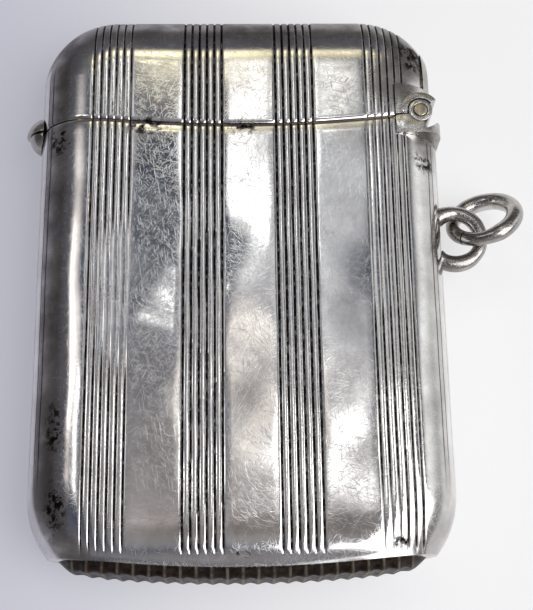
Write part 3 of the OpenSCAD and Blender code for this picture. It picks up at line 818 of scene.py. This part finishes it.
for row in (
        ("body_hinge_bearer", "body_hinge_block", hinge_silver, "case", "polished_silver", 0.25, 60),
        ("lid_hinge_bearer", "lid_hinge_hood", hinge_silver, "lid", "polished_silver", 0.12, 60),
        ("front_knuckle", "front_knuckle_tube", hinge_silver, "case", "polished_silver", 0.07, 35),
        ("rear_knuckle", "rear_knuckle_tube", hinge_silver, "case", "polished_silver", 0.07, 35),
        ("lid_knuckle", "lid_knuckle_tube", hinge_silver, "lid", "polished_silver", 0.05, 35),
        ("hinge_pin", "hinge_pin_wire", pin_brass, "case", "hinge_brass", 0.06, 35),
        ("mouth_collar", "mouth_collar_strip", gilding, "case", "gilt_silver", 0.06, 35),
        ("lid_spring", "lid_spring_leaf", blued_steel, "case", "spring_steel", 0.05, 35),
        ("thumb_piece", "thumb_piece_dome", shaded_wire_silver, "lid", "polished_silver", 0.08, 35),
        ("body_lug", "body_lug_dome", shaded_wire_silver, "case", "polished_silver", 0.08, 35),
):
    softened(*row)

# %% [markdown]
# ## Loop and jump ring
# Both are bent from round silver wire. The loop is soldered to the side, and the jump ring hangs
# through it, with a sawn gap where it was opened. A wire is a round section carried along a path,
# so one function makes both, a little uneven, as wire that was bent by hand is.

# %% Wire rings
def wire_ring(centre, across, along, ring_r, worn, start, end, steps):
    """Wire bent to part of a circle; worn gives the wire's radius at some angles in degrees."""
    centre, across, along = (np.array(v, float) for v in (centre, across, along))
    normal = np.cross(across, along)
    points, faces, sides = [], [], 28
    for i in range(steps + 1):
        a = start + (end - start) * i / steps
        out = across * math.cos(a) + along * math.sin(a)
        thick = np.interp(math.degrees(a), *zip(*worn)) * (1 + 0.008 * math.sin(7 * a))
        for j in range(sides):
            b = 2 * math.pi * j / sides
            points.append(centre + out * (ring_r + thick * math.cos(b)) + normal * thick * math.sin(b))
    for i in range(steps):
        for j in range(sides):
            k = (j + 1) % sides
            faces.append((i * sides + j, i * sides + k, (i + 1) * sides + k, (i + 1) * sides + j))
    faces += [tuple(range(sides)), tuple(range(steps * sides, (steps + 1) * sides))]
    return mesh_of(points, faces)


# Radius of each wire at angles round it: thin where they rub on each other, thick at the solder
LOOP_WORN = ((-134, 0.80), (-116, 0.70), (-66, 0.68), (-40, 0.57), (-8, 0.57), (30, 0.63), (64, 0.61),
             (84, 0.59), (104, 0.65), (134, 0.78))
RING_WORN = ((200, 0.59), (215, 0.57), (238, 0.57), (266, 0.70), (300, 0.72), (450, 0.72), (490, 0.60),
             (510, 0.58), (545, 0.61), (560, 0.59))
LOOP_OUT, LOOP_R, LOOP_SUNK = 1.1, 2.25, 0.4
LOOP_X = SIDE_X + LOOP_OUT
loop_reach = math.acos(-(LOOP_X - SIDE_X + LOOP_SUNK) / LOOP_R)
loop = wire_ring((LOOP_X, LOOP_Y, MID_Z), (1, 0, 0), (0, 1, 0), LOOP_R, LOOP_WORN,
                 -loop_reach, loop_reach, 96)
finished("chain_loop_wire", loop, shaded_wire_silver, "case", ["chain_loop"], 50)

RING_R, RING_SLIT = 2.65, 0.1
RING_TURN, RING_TILT, RING_SLIT_TURN = (math.radians(a) for a in (31, -41, 200))
eye = next(m for m in frame["record"]["mounts"] if m["name"] == "ring_eye")
tilt = Matrix.Rotation(RING_TURN, 3, "Z") @ Matrix.Rotation(RING_TILT, 3, "X")
half_gap = RING_SLIT / 2 / RING_R
ring = wire_ring([c / MM for c in eye["pos_m"]], tilt @ Vector((1, 0, 0)), tilt @ Vector((0, 1, 0)),
                 RING_R, RING_WORN, RING_SLIT_TURN + half_gap, RING_SLIT_TURN + 2 * math.pi - half_gap, 128)
finished("jump_ring_wire", ring, shaded_wire_silver, "ring", ["jump_ring"], 50)

# %% [markdown]
# ## The floor
# The case lies on a pale matt sheet whose colour is painted a little darker at the left, as painted shade away
# from the window.
# Silver mirrors the sheet along its lower edges, so the sheet is a real plane and not only a backdrop.

# %% The pale floor
def pale_floor():
    """A large sheet of matt paper: pale, without gloss, under a soft shadow."""
    half = 600.0
    mesh = mesh_of([(-half, -half, 0), (half, -half, 0), (half, half, 0), (-half, half, 0)],
                   [(0, 1, 2, 3)], False)
    material, tree, shader, place = start_material("pale_matt_paper")
    across = add(tree, "ShaderNodeSeparateXYZ", {0: place}).outputs[0]
    # Painted shade: the sheet's colour turns darker towards the left of the case
    shade = add(tree, RANGE, {0: across, 1: -34 * MM, 2: 20 * MM, 3: 0.0, 4: 1.0},
                interpolation_type="SMOOTHERSTEP")
    tone = add(tree, "ShaderNodeMix", {
        0: shade, 6: linear("#CCCCDA"), 7: linear("#FEFEFF")}, data_type="RGBA")
    tree.links.new(tone.outputs[2], shader.inputs["Base Color"])
    shader.inputs["Roughness"].default_value = 0.8
    # Half of the sheet's paleness is its own glow, seen by the camera and in the metal, so that its shadow stays
    # light
    path = add(tree, "ShaderNodeLightPath").outputs
    seen = add(tree, MATH, {0: path["Is Camera Ray"], 1: path["Is Glossy Ray"]}, operation="MAXIMUM")
    seen = add(tree, MATH, {0: seen, 1: path["Is Transmission Ray"]}, operation="MAXIMUM")
    share = add(tree, MATH, {0: seen, 1: 0.5}, operation="MULTIPLY")
    pale = add(tree, "ShaderNodeEmission", {"Color": tone.outputs[2], "Strength": 1.0})
    mixed = add(tree, "ShaderNodeMixShader", {0: share, 1: shader, 2: pale})
    tree.links.new(mixed.outputs[0], tree.nodes["Material Output"].inputs["Surface"])
    mesh.materials.append(material)
    floor = placed("pale_floor", mesh)
    return floor


print("floor:", pale_floor().name)

# %% [markdown]
# ## The camera
# The photograph was taken from above and a little below the middle, quite near. Place, turn and lens
# follow from the engraved lines, which are parallel on the case and run together in the picture.

# %% The camera at the photograph's angle
CAMERA_MM = (-0.35, -33.49, 102.31)
AZIMUTH, ELEVATION, ROLL = (math.radians(a) for a in (4.404, 71.953, 3.767))
FOCAL_PX, IMAGE_W, IMAGE_H = 1258.7, 533, 610
forward = Vector((math.sin(AZIMUTH) * math.cos(ELEVATION), math.cos(AZIMUTH) * math.cos(ELEVATION),
                  -math.sin(ELEVATION)))
right = forward.cross(Vector((0, 0, 1))).normalized()
upward = right.cross(forward)
right, upward = (math.cos(ROLL) * right + math.sin(ROLL) * upward,
                 -math.sin(ROLL) * right + math.cos(ROLL) * upward)
lens = bpy.data.cameras.new("photo_camera")
lens.sensor_fit, lens.sensor_height, lens.sensor_width = "VERTICAL", 36.0, 36.0
lens.lens = FOCAL_PX / IMAGE_H * 36.0
lens.clip_start, lens.clip_end = 0.005, 10.0
camera = placed("photo_camera", lens)
turned = Matrix((right, upward, -forward)).transposed().to_4x4()
camera.matrix_world = Matrix.Translation(Vector(CAMERA_MM) * MM) @ turned
bpy.context.scene.camera = camera
bpy.context.scene.view_settings.view_transform = "Standard"
print("camera at", [round(c, 4) for c in camera.location], "lens", round(lens.lens, 1))

# %% [markdown]
# ## The room and the light
# Silver shows what is around it, so the room matters more than the metal's colour. A picture of a
# room could be wrapped round the scene. Here it is a dim grey ramp with soft bright places, each set
# where the silver mirrors it, so every one can be named and moved. One large soft lamp at the right
# stands for the window, and gives the shadow.

# %% The room that the silver mirrors
world = bpy.data.worlds.new("soft_studio")
bpy.context.scene.world = world
world.use_nodes = True
sky = world.node_tree
toward = add(sky, "ShaderNodeTexCoord").outputs["Generated"]
height = add(sky, "ShaderNodeSeparateXYZ", {0: toward}).outputs[2]
room = add(sky, "ShaderNodeValToRGB", {0: height})
stops = ((0.0, "#9A9898"), (0.12, "#6E6C6C"), (0.5, "#58565A"), (0.82, "#545761"), (0.915, "#3E4655"),
         (0.955, "#7E8088"), (1.0, "#948F8D"))
for place_at, _ in stops[2:]:
    room.color_ramp.elements.new(place_at)
for element, (place_at, code) in zip(room.color_ramp.elements, stops):
    element.position = place_at
    element.color = linear(code)


def mirrored(px, py, lean_x, lean_y):
    """Direction that the silver mirrors at a place of the picture, where it leans by some degrees."""
    ray = forward + right * ((px - IMAGE_W / 2) / FOCAL_PX) - upward * ((py - IMAGE_H / 2) / FOCAL_PX)
    normal = Vector((math.sin(math.radians(lean_x)), math.sin(math.radians(lean_y)), 0.0))
    normal.z = math.sqrt(1.0 - normal.length_squared)
    return ray.normalized().reflect(normal)


# Soft lights and shades of the room: the place of the picture where the silver mirrors each,
# the lean of the silver there, half width and half height in degrees, brightness and colour
PATCHES = (
    (250, 165, 0, 0, 1.1, 2.8, 3.2, "#FFFFFF"),
    (250, 405, 0, 0, 1.1, 2.2, 1.0, "#FFF6EA"),
    (256, 80, 0, 0.4, 1.3, 1.5, 0.75, "#FFFDF2"),
    (342, 92, 0, 0.2, 1.0, 0.9, 1.5, "#FFFFFA"),
    (348, 456, 0, 0, 1.5, 1.4, 4.6, "#FFFFFF"),
    (352, 255, 0, 0, 2.0, 5.5, 0.60, "#FFFFFF"),
    (160, 286, 0, 0, 0.32, 0.34, 3.4, "#FFFFFF"),
    (150, 528, 0, -1, 3.0, 1.8, 0.26, "#FFF0F0"),
    (240, 50, 0, 3.2, 8.0, 2.2, 1.3, "#FFF2C4"),
    (158, 50, 0, 2.6, 2.0, 1.2, 2.0, "#FFF6CC"),
    (158, 53, 0, 0.3, 1.8, 0.36, 2.4, "#FFF8D8"),
    (158, 92, 0, 0.3, 1.8, 1.0, 0.13, "#FFF2E4"),
    (95, 175, -2, 0, 1.6, 4.0, 1.2, "#FFFFFF"),
    (72, 360, -12, 0, 2.0, 3.5, 3.2, "#FFF6F0"),
    (78, 455, -7, 0, 1.5, 2.6, 4.0, "#FFFFFF"),
    (84, 260, -10, 0, 3.5, 5.0, 1.0, "#FFF8F2"),
    (400, 330, 8, 0, 4.0, 14.0, 0.60, "#FFFCF4"),
    (417, 320, 27, 0, 4.0, 16.0, 1.1, "#FFFFFF"),
    (428, 320, 42, 0, 9.0, 25.0, 0.28, "#E4EEEA"),
    (285, 522, 0, -3, 5.0, 4.5, -0.08, "#FFFFFF"),
    (400, 522, 7, -5, 2.6, 3.0, 0.7, "#FFFFFF"),
    (255, 556, 0, -40, 40.0, 20.0, 0.35, "#FFF8F8"),
)
glow = room.outputs[0]
for px, py, lean_x, lean_y, wide, tall, strength, code in PATCHES:
    middle = mirrored(px, py, lean_x, lean_y)
    off = add(sky, "ShaderNodeVectorMath", {0: toward, 1: middle}, operation="SUBTRACT")
    off = add(sky, "ShaderNodeVectorMath", {
        0: off, 1: (1 / math.radians(wide), 1 / math.radians(tall), 0.0)}, operation="MULTIPLY")
    square = add(sky, "ShaderNodeVectorMath", {0: off, 1: off}, operation="DOT_PRODUCT")
    fall = add(sky, MATH, {0: square.outputs["Value"], 1: -0.5}, operation="MULTIPLY")
    soft = add(sky, MATH, {0: fall}, operation="EXPONENT")
    tint = tuple(strength * c for c in linear(code)[:3])
    bright = add(sky, "ShaderNodeVectorMath", {0: tint, "Scale": soft}, operation="SCALE")
    glow = add(sky, "ShaderNodeVectorMath", {0: glow, 1: bright}, operation="ADD").outputs[0]
sky.links.new(glow, sky.nodes["Background"].inputs["Color"])
sky.nodes["Background"].inputs["Strength"].default_value = 1.0


def soft_panel(name, place_mm, wide, tall, radiance, code):
    """A soft lamp that looks at the case; its power follows from how bright its face is."""
    lamp = bpy.data.lights.new(name, "AREA")
    lamp.shape, lamp.size, lamp.size_y = "RECTANGLE", wide * MM, tall * MM
    lamp.energy, lamp.color = radiance * math.pi * wide * tall * MM * MM, linear(code)[:3]
    panel = placed(name, lamp)
    panel.location = Vector(place_mm) * MM
    panel.rotation_euler = (-Vector(place_mm)).to_track_quat("-Z", "Y").to_euler()
    return panel


window = soft_panel("right_window", (300, -150, 400), 420, 520, 3.0, "#FFFFFF")
print("world with", len(PATCHES), "soft patches, and the lamp", window.name)
